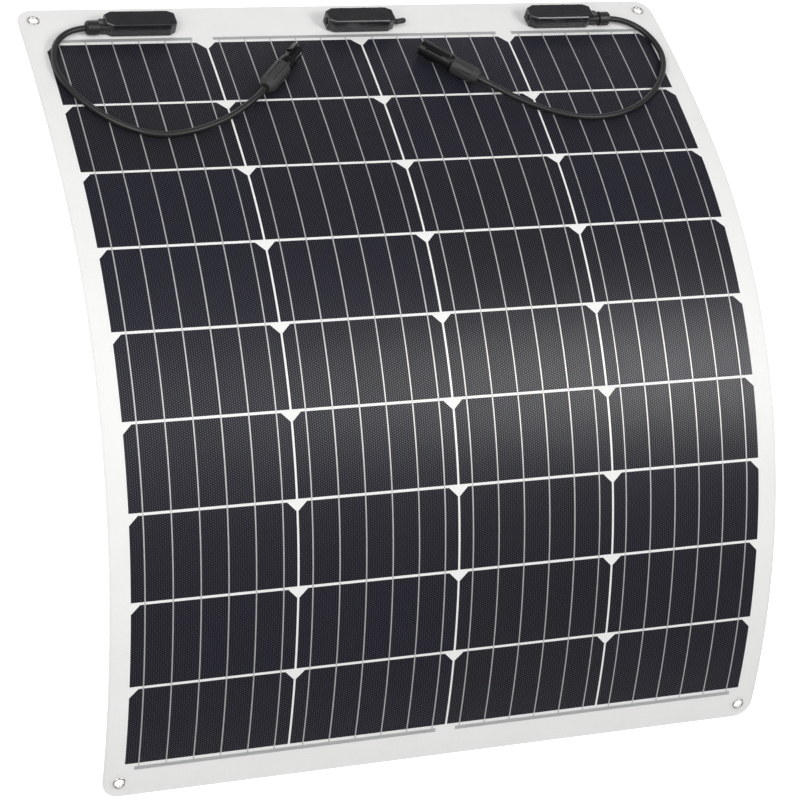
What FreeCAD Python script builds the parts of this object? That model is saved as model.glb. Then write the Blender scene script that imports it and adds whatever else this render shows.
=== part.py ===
import FreeCAD, Part
import math
import os

from FreeCAD import Placement, Rotation, Vector

os.makedirs("parts", exist_ok=True)

# Flexible solar sheet, bent into a shallow arch that stands on its two end edges.
# +X runs across the sheet, +Y towards the end with the junction boxes, +Z up.
# The origin is on the floor, in the middle of the arch's footprint. Millimetres.
#
# Places on the sheet are given as (across, along, high): across is X, along is the distance
# on the cells' face from the junction-box end, and high is the height above that face.

# ---- driving dimensions -------------------------------------------------------------------
SHEET_WIDTH = 672.0
TOP_MARGIN = 50.0  # from the junction-box end to the first row's pitch line
BOTTOM_MARGIN = 35.0
CORNER_RADIUS = 17.0
ROWS = 9
ROW_PITCH = 81.0
COLUMNS = 4
COLUMN_PITCH = 158.75
COLUMN_GAP = 2.0
ROW_GAP = 2.5
CELL_CORNER = 8.5  # legs of the two clipped corners of a half cell
BUSBARS = 6

HEAD_ROWS = 2  # rows on the section that carries the boxes and the leads
TAIL_ROWS = 1
HEAD_BEND = 1250.0  # bend radius of the cells' face over the head's rows
MIDDLE_BEND = 495.0
TAIL_BEND = 615.0
TAIL_BEND_ROWS = 2  # rows at the far end that have the tail's bend
HINGE_GAP = 0.6  # between neighbouring sections of the sheet

LAMINATE = 2.0  # rear board, backsheet and encapsulant, bonded
CELL_THICK = 0.25
RIBBON_THICK = 0.15
RIBBON_WIDE = 1.2
FILM = 0.4
BUS_WIDE = 4.0
BUS_FROM_CELLS = 3.4  # bare margin between the cells and a bus ribbon
# Bus ribbons: first and last column, and how far they pass the outer busbars, left and right.
HEAD_BUSES = ((0, 0, 4.0, 2.0), (1, 2, 5.0, 4.0), (3, 3, 7.0, 4.0))
TAIL_BUSES = ((0, 1, 4.0, 4.0), (2, 3, 4.0, 4.0))

EYELET_INSET = 15.5
EYELET_BORE = 4.0  # radii
EYELET_BARREL = 4.7
EYELET_FLANGE = 6.3
EYELET_HOLE = 4.8
EYELET_LIP = 0.7
EYELET_SEAT = 0.05  # air under the flat lips, where the sheet curves away

BOX_ACROSS = (-221.0, 4.3, 222.0)
BOX_ALONG = 31.0
BOX_LONG = 70.0
BOX_DEEP = 21.0
BOX_HIGH = 14.4
BOX_CHAMFER = (6.5, 4.0)  # along X, along Y
BOX_WALL = 1.6
BOX_FLOOR = 1.4
BOX_PAD = 0.7  # adhesive pad under a box
LID_PLATE = 2.0
LID_SKIRT = 2.4
LID_SEAM = 0.15
LID_PLAY = 0.25
LUG_PLACES = (-17.4, 7.0, 24.4)  # snap lugs along a box
LUG_SIZE = (2.4, 0.9, 2.2)  # long, proud, deep
RIB_SIZE = (0.8, 0.3)  # wide, proud: ribs under the lugs
POTTING_HIGH = 6.4
PORT_RADIUS = 3.2
PORT_HIGH = 6.4
PORT_CAP = 1.4  # thickness of a blank disc over a port
STUB = (2.8, 11.2)  # the longer blank: radius, straight length
STUB_TURN = 13.0  # from the box's long axis, towards the end of the sheet

GLAND_OFFSET = -4.8  # gland axis from the box's middle, along Y
GLAND_HIGH = 7.3  # gland axis above the film
GLAND_BLOCK = (6.6, 11.1, 9.9)  # moulded foot of a gland: long, deep, high
GLAND_BLOCK_AT = (2.4, 1.6)  # its middle from the gland's axis, and its underside's height
GLAND_NECK = (4.6, 9.6)  # radius, length beyond the box's end
GLAND_NUT = (6.9, 11.6)  # outer radius, length
GLAND_NUT_FROM_BOX = 7.6
GLAND_NUT_SHELF = (1.6, 7.2)  # raised ring at the box's side of a gland nut: long, radius
GLAND_SKIRT_BORE = 4.9

LEAD = 6.0  # diameter of the leads
LEAD_BORE = 3.5  # radius of the holes that a lead passes through
LEAD_OUT = 18.5  # straight run out of a gland
LEAD_IN = 14.0  # straight run up to a connector's rear
RUN_SHARE = 0.45  # share of a run that an arc's tangent takes

PLUG_NUT = (9.2, 36.3)  # radius, length
SOCKET_NUT = (8.8, 29.0)
NUT_CONE = (5.5, 7.0)  # rear radius, length
NUT_FLAT = 0.35  # how far the eight flats lie inside the nut's radius
NUT_SHOULDER = 6.0
NUT_BORE = 7.1
NUT_SEAM = 0.4  # between a nut and the collar in front of it
BODY_REAR = 6.9  # radius of a connector's body inside its nut
BODY_START = 7.0  # from the nut's rear face
PLUG_PLACE = (-120.0, 124.9)  # rear of the plug connector: across, along
PLUG_TOWARDS = (-69.4, 70.0)
SOCKET_PLACE = (103.0, 119.3)
SOCKET_TOWARDS = (54.2, 73.4)
CONNECTOR_HIGH = 9.8

COLLAR = (8.2, 10.7)  # plug's collar in front of its nut: radius, length
SLEEVE = (4.0, 2.9, 22.5)  # plug's sleeve round its pin: outer radius, inner radius, length
PIN = 1.6
ARM_ROOT_GAP = 0.15
ARM_LONG = 23.0
ARM_THICK = 2.0
ARM_WIDE = 5.0
ARM_INNER = 4.8  # from the axis to the root of an arm's inner face
ARM_SPLAY = 0.8  # how much further out the inner face is at the tip
ARM_BARB = (8.1, 2.1)  # from the arm's root, proud of its outer face
ARM_ROLL = 57.0  # of the two arms about the axis, the left one upwards

FLANGE = (8.9, 4.6)  # socket's flange in front of its nut: radius, length
BARREL = (8.2, 6.2, 24.0)  # socket's barrel: outer radius, inner radius, length
MOUTH = (7.7, 7.8)  # slimmer end of the barrel: radius, length
RAIL = (4.0, 0.6)  # rail along the barrel: wide, proud
RAIL_ROLL = 40.0  # of the rail about the axis, from the top towards the sheet's end
WINDOW = (18.5, 3.4)  # long, wide
WINDOW_FROM_NUT = 11.0
WINDOW_ROLL = -43.5  # of the two windows about the axis
TUBE = (4.4, 2.6, 2.5)  # socket's inner tube: outer and inner radius, how far inside the mouth
CONTACT_BORE = 1.7
WEB = 6.0  # solid stretch behind the socket's barrel

# ---- the bend of the sheet ----------------------------------------------------------------
SHEET_LENGTH = TOP_MARGIN + ROWS * ROW_PITCH + BOTTOM_MARGIN


def row_line(row):
    """Distance along the sheet of the pitch line above a row, with rows counted from 0."""
    return TOP_MARGIN + row * ROW_PITCH


def out_of(angle):
    """Unit normal of the face where it rises at that angle towards -Y."""
    return Vector(0, math.sin(angle), math.cos(angle))


class Bend:
    """One stretch of the sheet with a constant radius."""

    def __init__(self, start, end, radius, angle, point):
        self.start, self.end, self.radius, self.angle = start, end, radius, angle
        self.centre = point - out_of(angle) * radius

    def angle_at(self, along):
        return self.angle - (along - self.start) / self.radius

    def point(self, along, high):
        return self.centre + out_of(self.angle_at(along)) * (self.radius + high)


def make_bends(first_angle, first_point):
    """The three tangent stretches, from the junction-box end on."""
    ends = (
        (row_line(HEAD_ROWS), HEAD_BEND),
        (row_line(ROWS - TAIL_BEND_ROWS), MIDDLE_BEND),
        (SHEET_LENGTH, TAIL_BEND),
    )
    bends, start, angle, point = [], 0.0, first_angle, first_point
    for end, radius in ends:
        bends.append(Bend(start, end, radius, angle, point))
        angle, point = bends[-1].angle_at(end), bends[-1].point(end, 0)
        start = end
    return bends


def level_bends():
    """The stretches turned so that both rear end edges are on the floor, centred on the origin."""
    trial = make_bends(0.0, Vector())
    chord = trial[-1].point(SHEET_LENGTH, -LAMINATE) - trial[0].point(0, -LAMINATE)
    rise = -math.atan2(chord.z, -chord.y)
    trial = make_bends(rise, Vector())
    floor = trial[0].point(0, -LAMINATE).z
    middle = (trial[0].point(0, FILM).y + trial[-1].point(SHEET_LENGTH, FILM).y) / 2
    return make_bends(rise, Vector(0, -middle, -floor))


BENDS = level_bends()


def bend_of(along):
    return next(b for b in BENDS if along <= b.end + 1e-6)


def place(across, along, high=0.0):
    """A point given by its place on the sheet."""
    point = bend_of(along).point(along, high)
    return Vector(across, point.y, point.z)


def seat(across, along, high=0.0, turn=0.0):
    """A placement there: its Z leaves the sheet, its Y runs towards the junction-box end."""
    bend = bend_of(along)
    tilt = Rotation(Vector(1, 0, 0), -math.degrees(bend.angle_at(along)))
    return Placement(place(across, along, high), tilt * Rotation(Vector(0, 0, 1), turn))


def layer(left, right, start, end, low, top):
    """A piece of one layer of the sheet, inside one stretch of the bend."""
    bend = bend_of((start + end) / 2)
    middle = (start + end) / 2
    lower = [bend.point(s, low) for s in (start, middle, end)]
    upper = [bend.point(s, top) for s in (end, middle, start)]
    edges = [
        Part.Arc(*lower).toShape(),
        Part.makeLine(lower[2], upper[0]),
        Part.Arc(*upper).toShape(),
        Part.makeLine(upper[2], lower[0]),
    ]
    piece = Part.Face(Part.Wire(edges)).extrude(Vector(right - left, 0, 0))
    piece.translate(Vector(left, 0, 0))
    return piece


# ---- small helpers ------------------------------------------------------------------------
MADE = {}


def keep(name, *solids):
    """Writes one node, a single solid or a group of alike solids."""
    flat = [s for shape in solids for s in shape.Solids]
    shape = flat[0] if len(flat) == 1 else Part.makeCompound(flat)
    if not shape.isValid():
        raise ValueError(f"{name} is not valid")
    shape.exportStep(f"parts/{name}.step")
    MADE[name] = shape
    return shape


def seated(shape, placement):
    moved = shape.copy()
    moved.Placement = placement * moved.Placement
    return moved


def prism(points, low, top):
    """An upright prism over a polygon of (x, y) corners."""
    ring = [Vector(x, y, low) for x, y in points]
    return Part.Face(Part.makePolygon(ring + ring[:1])).extrude(Vector(0, 0, top - low))


def block(size, corner):
    return Part.makeBox(*size, Vector(*corner))


def rod(radius, start, end, y=0.0, z=0.0):
    """A cylinder along X."""
    return Part.makeCylinder(radius, end - start, Vector(start, y, z), Vector(1, 0, 0))


def turned(profile):
    """A solid turned about X from (x, radius) corners."""
    ring = [Vector(x, r, 0) for x, r in profile]
    face = Part.Face(Part.makePolygon(ring + ring[:1]))
    return face.revolve(Vector(), Vector(1, 0, 0), 360).Solids[0]


def ribbed(body, radius, start, end, grooves, wide, deep):
    """Cuts lengthwise grooves into a body turned about X."""
    for k in range(grooves):
        groove = block((end - start, wide, deep + 1), (start, -wide / 2, radius - deep))
        groove.rotate(Vector(), Vector(1, 0, 0), 360 / grooves * (k + 0.5))
        body = body.cut(groove)
    return body


# ---- the laminated sheet ------------------------------------------------------------------
def sections():
    """(name, start, end, first row, last row) of the rigid sections of the sheet."""
    middle = range(HEAD_ROWS, ROWS - TAIL_ROWS)
    found = [("head", 0.0, row_line(HEAD_ROWS) - HINGE_GAP / 2, 0, HEAD_ROWS - 1)]
    for row in middle:
        start, end = row_line(row) + HINGE_GAP / 2, row_line(row + 1) - HINGE_GAP / 2
        found.append((f"row_{row + 1}", start, end, row, row))
    tail_start = row_line(ROWS - TAIL_ROWS) + HINGE_GAP / 2
    found.append(("tail", tail_start, SHEET_LENGTH, ROWS - TAIL_ROWS, ROWS - 1))
    return found


def column_middle(column):
    return (column - (COLUMNS - 1) / 2) * COLUMN_PITCH


def cell(row, column):
    """A half cell. The two corners towards the junction-box end are clipped."""
    half = (COLUMN_PITCH - COLUMN_GAP) / 2
    left, right = column_middle(column) - half, column_middle(column) + half
    start, end = row_line(row) + ROW_GAP / 2, row_line(row + 1) - ROW_GAP / 2
    piece = layer(left, right, start, end, -CELL_THICK, 0)
    for side, across in ((1, left), (-1, right)):
        clip = prism([(0, 0), (side * CELL_CORNER, 0), (0, -CELL_CORNER)], -1, 1)
        piece = piece.cut(seated(clip, seat(across, start)))
    return piece


def busbar_places(column):
    pitch = (COLUMN_PITCH - COLUMN_GAP) / BUSBARS
    return [column_middle(column) + (k - (BUSBARS - 1) / 2) * pitch for k in range(BUSBARS)]


def busbars(start, end):
    half = RIBBON_WIDE / 2
    return [
        layer(across - half, across + half, start, end, 0, RIBBON_THICK)
        for column in range(COLUMNS)
        for across in busbar_places(column)
    ]


def bus_ribbons(groups, start):
    """Cross ribbons in a margin, one over each group of columns."""
    return [
        layer(
            busbar_places(first)[0] - past_left,
            busbar_places(last)[-1] + past_right,
            start,
            start + BUS_WIDE,
            0,
            RIBBON_THICK,
        )
        for first, last, past_left, past_right in groups
    ]


def eyelet_places(along):
    across = SHEET_WIDTH / 2 - EYELET_INSET
    return [seat(side * across, along) for side in (-1, 1)]


def corner_cutters(along, towards):
    """What is cut off at the two corners of an end, beyond the corner radius."""
    cutters = []
    for side in (-1, 1):
        square = block((2 * CORNER_RADIUS, 2 * CORNER_RADIUS, 20), (0, 0, -10))
        square = square.cut(Part.makeCylinder(CORNER_RADIUS, 20, Vector(0, 0, -10)))
        quarter = {(1, 1): 0, (-1, 1): 90, (-1, -1): 180, (1, -1): 270}[(side, towards)]
        across = side * (SHEET_WIDTH / 2 - CORNER_RADIUS)
        cutters.append(seated(square, seat(across, along, 0, quarter)))
    return cutters


TOP_BUS = row_line(0) + ROW_GAP / 2 - BUS_FROM_CELLS - BUS_WIDE
BOTTOM_BUS = row_line(ROWS) - ROW_GAP / 2 + BUS_FROM_CELLS
EYELET_ALONG = {"head": EYELET_INSET, "tail": SHEET_LENGTH - EYELET_INSET}


def make_sheet():
    for name, start, end, first, last in sections():
        left, right = -SHEET_WIDTH / 2, SHEET_WIDTH / 2
        laminate = layer(left, right, start, end, -LAMINATE, 0)
        film = layer(left, right, start, end, 0, FILM)
        cells = [cell(r, c) for r in range(first, last + 1) for c in range(COLUMNS)]
        bars = busbars(
            TOP_BUS + BUS_WIDE if name == "head" else start,
            BOTTOM_BUS if name == "tail" else end,
        )
        buses, cutters = [], []
        if name == "head":
            buses = bus_ribbons(HEAD_BUSES, TOP_BUS)
            cutters = corner_cutters(CORNER_RADIUS, 1)
        if name == "tail":
            buses = bus_ribbons(TAIL_BUSES, BOTTOM_BUS)
            cutters = corner_cutters(SHEET_LENGTH - CORNER_RADIUS, -1)
        if name in EYELET_ALONG:
            hole = Part.makeCylinder(EYELET_HOLE, 20, Vector(0, 0, -10))
            places = eyelet_places(EYELET_ALONG[name])
            cutters += [seated(hole, p) for p in places]
            keep(f"eyelets_{name}", *[seated(eyelet(), p) for p in places])
            keep(f"bus_ribbons_{name}", *buses)
        keep(f"laminate_{name}", laminate.cut(cells + cutters))
        keep(f"cells_{name}", *cells)
        keep(f"busbars_{name}", *bars)
        keep(f"front_film_{name}", film.cut(bars + buses + cutters))


def eyelet():
    """A pressed ring, turned about Z, with a lip on each face of the sheet."""
    low, top = -LAMINATE - EYELET_SEAT, FILM + EYELET_SEAT
    edge = EYELET_FLANGE - EYELET_LIP / 2
    corners = [
        (EYELET_BORE, low - EYELET_LIP),
        (edge, low - EYELET_LIP),
        (EYELET_FLANGE, low - EYELET_LIP / 2),
        (EYELET_FLANGE, low),
        (EYELET_BARREL, low),
        (EYELET_BARREL, top),
        (EYELET_FLANGE, top),
        (EYELET_FLANGE, top + EYELET_LIP / 2),
        (edge, top + EYELET_LIP),
        (EYELET_BORE, top + EYELET_LIP),
    ]
    ring = [Vector(r, 0, z) for r, z in corners]
    face = Part.Face(Part.makePolygon(ring + ring[:1]))
    return face.revolve(Vector(), Vector(0, 0, 1), 360).Solids[0]


# ---- the junction boxes -------------------------------------------------------------------
# In a box's own frame X runs across the sheet, Y towards its end, and Z = 0 is on the film.
BASE_TOP = BOX_HIGH - LID_PLATE


def octagon(inset):
    """The box's outline, a rectangle with clipped corners, drawn in by an inset."""
    x, y = BOX_LONG / 2 - inset, BOX_DEEP / 2 - inset
    cut_x, cut_y = BOX_CHAMFER[0] - inset * 0.6, BOX_CHAMFER[1] - inset * 0.4
    corners = [(x, y - cut_y), (x - cut_x, y)]
    corners += [(-a, b) for a, b in reversed(corners)]
    return corners + [(-a, -b) for a, b in corners]


def box_base(mirror):
    base = prism(octagon(0), BOX_PAD, BASE_TOP)
    base = base.cut(prism(octagon(BOX_WALL), BOX_PAD + BOX_FLOOR, BASE_TOP + 1))
    wide, proud = RIB_SIZE
    low, top = BOX_PAD + 0.8, BASE_TOP - LUG_SIZE[2] - 0.4
    for place_x in LUG_PLACES:
        for side in (-1, 1):
            y = BOX_DEEP / 2 if side > 0 else -BOX_DEEP / 2 - proud
            rib = block((wide, proud, top - low), (mirror * place_x - wide / 2, y, low))
            base = base.fuse(rib)
    return base.removeSplitter()


def box_lid(mirror):
    """A plate with a bevelled rim, a skirt inside the base and snap lugs outside it."""
    rim, bevel = BOX_HIGH - 0.8, 0.9
    lower, upper = [
        Part.makePolygon([Vector(x, y, high) for x, y in ring + ring[:1]])
        for ring, high in ((octagon(0), rim), (octagon(bevel), BOX_HIGH))
    ]
    plate = prism(octagon(0), BASE_TOP + LID_SEAM, rim)
    plate = plate.fuse(Part.makeLoft([lower, upper], True, True))
    inset = BOX_WALL + LID_PLAY
    skirt = prism(octagon(inset), BASE_TOP - LID_SKIRT, BASE_TOP + LID_SEAM)
    skirt = skirt.cut(prism(octagon(inset + 1.2), 0, BASE_TOP + LID_SEAM))
    plate = plate.fuse(skirt)
    long, proud, deep = LUG_SIZE
    for place_x in LUG_PLACES:
        for side in (-1, 1):
            x = mirror * place_x - long / 2
            y = BOX_DEEP / 2 + 0.1 if side > 0 else -BOX_DEEP / 2 - 0.1 - proud
            lug = block((long, proud, deep), (x, y, BASE_TOP - deep + 0.6))
            bridge_y = BOX_DEEP / 2 - 0.4 if side > 0 else -BOX_DEEP / 2 - 0.1
            bridge = block((long, 0.5, 0.4), (x, bridge_y, BASE_TOP + 0.2))
            plate = plate.fuse([lug, bridge])
    return plate.removeSplitter()


def terminals():
    """Two tinned copper plates that stand on the box's floor."""
    foot = BOX_PAD + BOX_FLOOR
    return [
        block((14, 6, 0.8), (x, -3, foot)).fuse(block((0.8, 6, 4), (end, -3, foot)))
        for x, end in ((-22, -8.8), (8, 8))
    ]


def diode():
    """The bypass diode between the terminals, with its two leads."""
    high = BOX_PAD + BOX_FLOOR + 2.6
    body = rod(2.2, -4.5, 4.5, 0, high)
    return body.fuse([rod(0.5, -8, -4.5, 0, high), rod(0.5, 4.5, 8, 0, high)]).removeSplitter()


def gland(side):
    """The foot and neck moulded for the lead, which butt against the box's clipped end."""
    radius, length = GLAND_NECK
    wall, end = side * BOX_LONG / 2, side * (BOX_LONG / 2 + length)
    inner = wall - side * BOX_CHAMFER[0]
    neck = rod(radius, min(inner, end), max(inner, end), GLAND_OFFSET, GLAND_HIGH)
    long, deep, high = GLAND_BLOCK
    shift, low = GLAND_BLOCK_AT
    foot_end = wall + side * long
    y, cut = GLAND_OFFSET + shift + deep / 2, 2.0
    foot = prism(
        [
            (inner, y - deep),
            (foot_end - side * cut, y - deep),
            (foot_end, y - deep + cut),
            (foot_end, y - cut),
            (foot_end - side * cut, y),
            (inner, y),
        ],
        low,
        low + high,
    )
    return neck.fuse(foot).cut(prism(octagon(0), 0, BOX_HIGH)).removeSplitter()


def gland_nut(side):
    """A ribbed nut on the neck, with a hole for the lead in its outer end."""
    radius, length = GLAND_NUT
    inside = GLAND_NECK[1] - GLAND_NUT_FROM_BOX + 0.3
    shelf, wider = GLAND_NUT_SHELF
    profile = [
        (0, GLAND_SKIRT_BORE),
        (0, wider),
        (shelf, wider),
        (shelf, radius),
        (length - 1.5, radius),
        (length, radius - 1.3),
        (length, LEAD_BORE),
        (inside, LEAD_BORE),
        (inside, GLAND_SKIRT_BORE),
    ]
    nut = ribbed(turned(profile), radius, shelf + 0.8, length + 1, 8, 1.6, 0.8)
    if side < 0:
        nut.rotate(Vector(), Vector(0, 0, 1), 180)
    nut.translate(Vector(side * (BOX_LONG / 2 + GLAND_NUT_FROM_BOX), GLAND_OFFSET, GLAND_HIGH))
    return nut


def port_plug(side):
    """A blank disc that closes an unused lead port."""
    start = BOX_LONG / 2 if side > 0 else -BOX_LONG / 2 - PORT_CAP
    return rod(PORT_RADIUS, start, start + PORT_CAP, 0, PORT_HIGH)


def blanking_stub():
    """A longer blank with a rounded end, where a lead could leave the middle box."""
    radius, length = STUB
    stub = rod(radius - 0.7, -2, 4)
    stub = stub.fuse([rod(radius, 2.5, length), Part.makeSphere(radius, Vector(length, 0, 0))])
    stub.rotate(Vector(), Vector(0, 0, 1), STUB_TURN)
    stub.translate(Vector(BOX_LONG / 2, GLAND_OFFSET, GLAND_HIGH))
    return stub.cut(prism(octagon(0), 0, BOX_HIGH)).removeSplitter()


def make_boxes():
    names = ("left", "middle", "right")
    pads, potting, plates, diodes = [], [], [], []
    for index, name in enumerate(names):
        spot = seat(BOX_ACROSS[index], BOX_ALONG, FILM)
        mirror = -1 if name == "left" else 1
        keep(f"box_base_{name}", seated(box_base(mirror), spot))
        keep(f"box_lid_{name}", seated(box_lid(mirror), spot))
        inside = terminals() + [diode()]
        fill = prism(octagon(BOX_WALL), BOX_PAD + BOX_FLOOR, POTTING_HIGH).cut(inside)
        potting.append(seated(fill, spot))
        plates += [seated(t, spot) for t in terminals()]
        diodes.append(seated(diode(), spot))
        pads.append(seated(prism(octagon(1.0), EYELET_SEAT, BOX_PAD), spot))
    keep("box_potting", *potting)
    keep("box_terminals", *plates)
    keep("bypass_diodes", *diodes)
    keep("adhesive_pads", *pads)
    left, middle, right = [seat(across, BOX_ALONG, FILM) for across in BOX_ACROSS]
    keep("lead_glands", seated(gland(-1), left), seated(gland(1), right))
    keep("gland_nuts", seated(gland_nut(-1), left), seated(gland_nut(1), right))
    keep(
        "port_blanks",
        seated(port_plug(1), left),
        seated(port_plug(-1), middle),
        seated(blanking_stub(), middle),
        seated(port_plug(-1), right),
    )


# ---- the connectors -----------------------------------------------------------------------
# In a connector's own frame X is its axis, from the rear of its nut to its mouth.
PLUG_FRONT = PLUG_NUT[1] + NUT_SEAM + COLLAR[1]
ARM_START = PLUG_FRONT + ARM_ROOT_GAP
SOCKET_FRONT = SOCKET_NUT[1] + NUT_SEAM + FLANGE[1] + BARREL[2] + MOUTH[1]
SOCKET_BACK = SOCKET_NUT[1] + NUT_SEAM


def connector_nut(radius, length):
    cone_radius, cone = NUT_CONE
    profile = [
        (0, LEAD_BORE),
        (0, cone_radius),
        (cone, radius),
        (length - 0.8, radius),
        (length, radius - 0.8),
        (length, NUT_BORE),
        (NUT_SHOULDER, NUT_BORE),
        (NUT_SHOULDER, LEAD_BORE),
    ]
    across = 2 * (radius - NUT_FLAT)
    flats = block((length, across, across), (0, -across / 2, -across / 2))
    turned_flats = flats.copy()
    turned_flats.rotate(Vector(), Vector(1, 0, 0), 45)
    nut = turned(profile).common(flats.common(turned_flats))
    return ribbed(nut, radius, cone, length - 2.5, 8, 1.8, 0.9)


def plug_body():
    """Rear stem in the nut, a collar with a sloped rear edge, and the sleeve round the pin."""
    outer, inner, reach = SLEEVE
    back = PLUG_NUT[1] + NUT_SEAM
    profile = [
        (BODY_START, 0),
        (BODY_START, BODY_REAR),
        (back, BODY_REAR),
        (back + 4.2, COLLAR[0]),
        (PLUG_FRONT - 1.6, COLLAR[0]),
        (PLUG_FRONT, COLLAR[0] - 1.2),
        (PLUG_FRONT, outer),
        (PLUG_FRONT + reach, outer),
        (PLUG_FRONT + reach, inner),
        (PLUG_FRONT, inner),
        (PLUG_FRONT, PIN),
        (PLUG_FRONT - 6, PIN),
        (PLUG_FRONT - 6, 0),
    ]
    return turned(profile)


def plug_pin():
    back, tip = PLUG_FRONT - 6, PLUG_FRONT + SLEEVE[2] - 3.0
    return turned([(back, 0), (back, PIN), (tip - 2, PIN), (tip, PIN / 2), (tip, 0)])


def latch_arm(side):
    """A sprung arm with an outward barb, along +Y or -Y of the arms' own seat."""
    reach, proud = ARM_BARB
    end, barb = ARM_START + ARM_LONG, ARM_START + reach

    def inner(x):
        return ARM_INNER + ARM_SPLAY * (x - ARM_START) / ARM_LONG

    outline = [
        (ARM_START, inner(ARM_START)),
        (end, inner(end)),
        (end, inner(end) + 1.0),
        (end - 4, inner(end - 4) + ARM_THICK),
        (barb + 3.6, inner(barb + 3.6) + ARM_THICK),
        (barb + 0.6, inner(barb) + ARM_THICK + proud),
        (barb - 0.6, inner(barb) + ARM_THICK + proud),
        (barb - 0.6, inner(barb - 0.6) + ARM_THICK),
        (ARM_START, inner(ARM_START) + ARM_THICK),
    ]
    return prism([(x, side * y) for x, y in outline], -ARM_WIDE / 2, ARM_WIDE / 2)


def socket_body():
    """Rear stem in the nut, a flange, and a windowed barrel with a rail round an inner tube."""
    outer, inner, length = BARREL
    tube_out, tube_in, recess = TUBE
    step = SOCKET_BACK + FLANGE[1]
    profile = [
        (BODY_START, 0),
        (BODY_START, BODY_REAR),
        (SOCKET_BACK, BODY_REAR),
        (SOCKET_BACK, FLANGE[0] - 1.0),
        (SOCKET_BACK + 2.0, FLANGE[0]),
        (step - 0.9, FLANGE[0]),
        (step, outer),
        (step + length, outer),
        (step + length, MOUTH[0]),
        (SOCKET_FRONT - 0.6, MOUTH[0]),
        (SOCKET_FRONT, MOUTH[0] - 0.5),
        (SOCKET_FRONT, inner),
        (SOCKET_BACK + WEB, inner),
        (SOCKET_BACK + WEB, tube_out),
        (SOCKET_FRONT - recess, tube_out),
        (SOCKET_FRONT - recess, tube_in),
        (SOCKET_BACK, tube_in),
        (SOCKET_BACK, 0),
    ]
    wide, proud = RAIL
    middle = (inner + outer) / 2
    rail = block((SOCKET_FRONT - step, wide, outer + proud - middle), (step, -wide / 2, middle))
    rail.rotate(Vector(), Vector(1, 0, 0), RAIL_ROLL)
    body = turned(profile).fuse(rail).removeSplitter()
    long, wide = WINDOW
    for turn in (WINDOW_ROLL, WINDOW_ROLL + 180):
        window = block((long, wide, 4), (SOCKET_BACK + WINDOW_FROM_NUT, -wide / 2, inner - 0.8))
        window.rotate(Vector(), Vector(1, 0, 0), turn)
        body = body.cut(window)
    return body


def socket_contact():
    """The sleeve contact inside the socket's inner tube."""
    outer, end = TUBE[1] - 0.1, SOCKET_FRONT - TUBE[2] - 2.0
    blind = SOCKET_BACK + 8
    return turned(
        [
            (SOCKET_BACK, 0),
            (SOCKET_BACK, outer),
            (end, outer),
            (end, CONTACT_BORE),
            (blind, CONTACT_BORE),
            (blind, 0),
        ]
    )


def collet():
    """The gripping ring between a nut's shoulder and the rear of a connector's body."""
    start, outer = NUT_SHOULDER + 0.1, BODY_REAR - 0.3
    return turned([(start, LEAD_BORE), (start, outer), (BODY_START, outer), (BODY_START, LEAD_BORE)])


def connector_seat(rear, towards):
    """A placement on the head section with X along the connector, laid on the film."""
    start, end = place(*rear), place(*towards)
    along = (rear[1] + towards[1]) / 2
    flat = seat(0, along).Rotation
    direction = flat.inverted().multVec(end - start)
    turn = math.degrees(math.atan2(direction.y, direction.x))
    centre = seat((rear[0] + towards[0]) / 2, along, CONNECTOR_HIGH, turn)
    half = math.hypot(direction.x, direction.y) / 2
    return Placement(centre.multVec(Vector(-half, 0, 0)), centre.Rotation)


PLUG_SEAT = connector_seat(PLUG_PLACE, PLUG_TOWARDS)
SOCKET_SEAT = connector_seat(SOCKET_PLACE, SOCKET_TOWARDS)
ARM_SEAT = PLUG_SEAT * Placement(Vector(), Rotation(Vector(1, 0, 0), ARM_ROLL))


def make_connectors():
    keep("plug_nut", seated(connector_nut(*PLUG_NUT), PLUG_SEAT))
    keep("plug_body", seated(plug_body(), PLUG_SEAT))
    keep("plug_pin", seated(plug_pin(), PLUG_SEAT))
    keep("latch_arm_left", seated(latch_arm(1), ARM_SEAT))
    keep("latch_arm_right", seated(latch_arm(-1), ARM_SEAT))
    keep("socket_nut", seated(connector_nut(*SOCKET_NUT), SOCKET_SEAT))
    keep("socket_body", seated(socket_body(), SOCKET_SEAT))
    keep("socket_contact", seated(socket_contact(), SOCKET_SEAT))
    keep("lead_collets", seated(collet(), PLUG_SEAT), seated(collet(), SOCKET_SEAT))


# ---- the leads ----------------------------------------------------------------------------
# The middle corners of each lead's route, as (across, along, high). The route's first two
# corners are on its gland's axis and its last two are on its connector's.
LEAD_LOW = FILM + LEAD / 2 + 0.35
LEFT_ROUTE = [
    (-305.0, 47.0, 5.0),
    (-315.0, 72.0, LEAD_LOW),
    (-313.0, 101.0, LEAD_LOW),
    (-298.0, 130.0, LEAD_LOW),
    (-272.0, 158.5, LEAD_LOW),
    (-236.0, 175.0, LEAD_LOW),
    (-200.0, 170.5, LEAD_LOW),
    (-169.0, 159.0, 4.4),
    (-148.5, 147.5, 6.8),
]
RIGHT_ROUTE = [
    (307.0, 45.0, 5.0),
    (319.0, 67.0, LEAD_LOW),
    (320.0, 93.0, LEAD_LOW),
    (306.0, 122.0, LEAD_LOW),
    (279.0, 150.0, LEAD_LOW),
    (243.0, 167.5, LEAD_LOW),
    (204.0, 170.5, LEAD_LOW),
    (170.0, 161.0, 4.4),
    (141.0, 148.0, 7.2),
]


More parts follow.
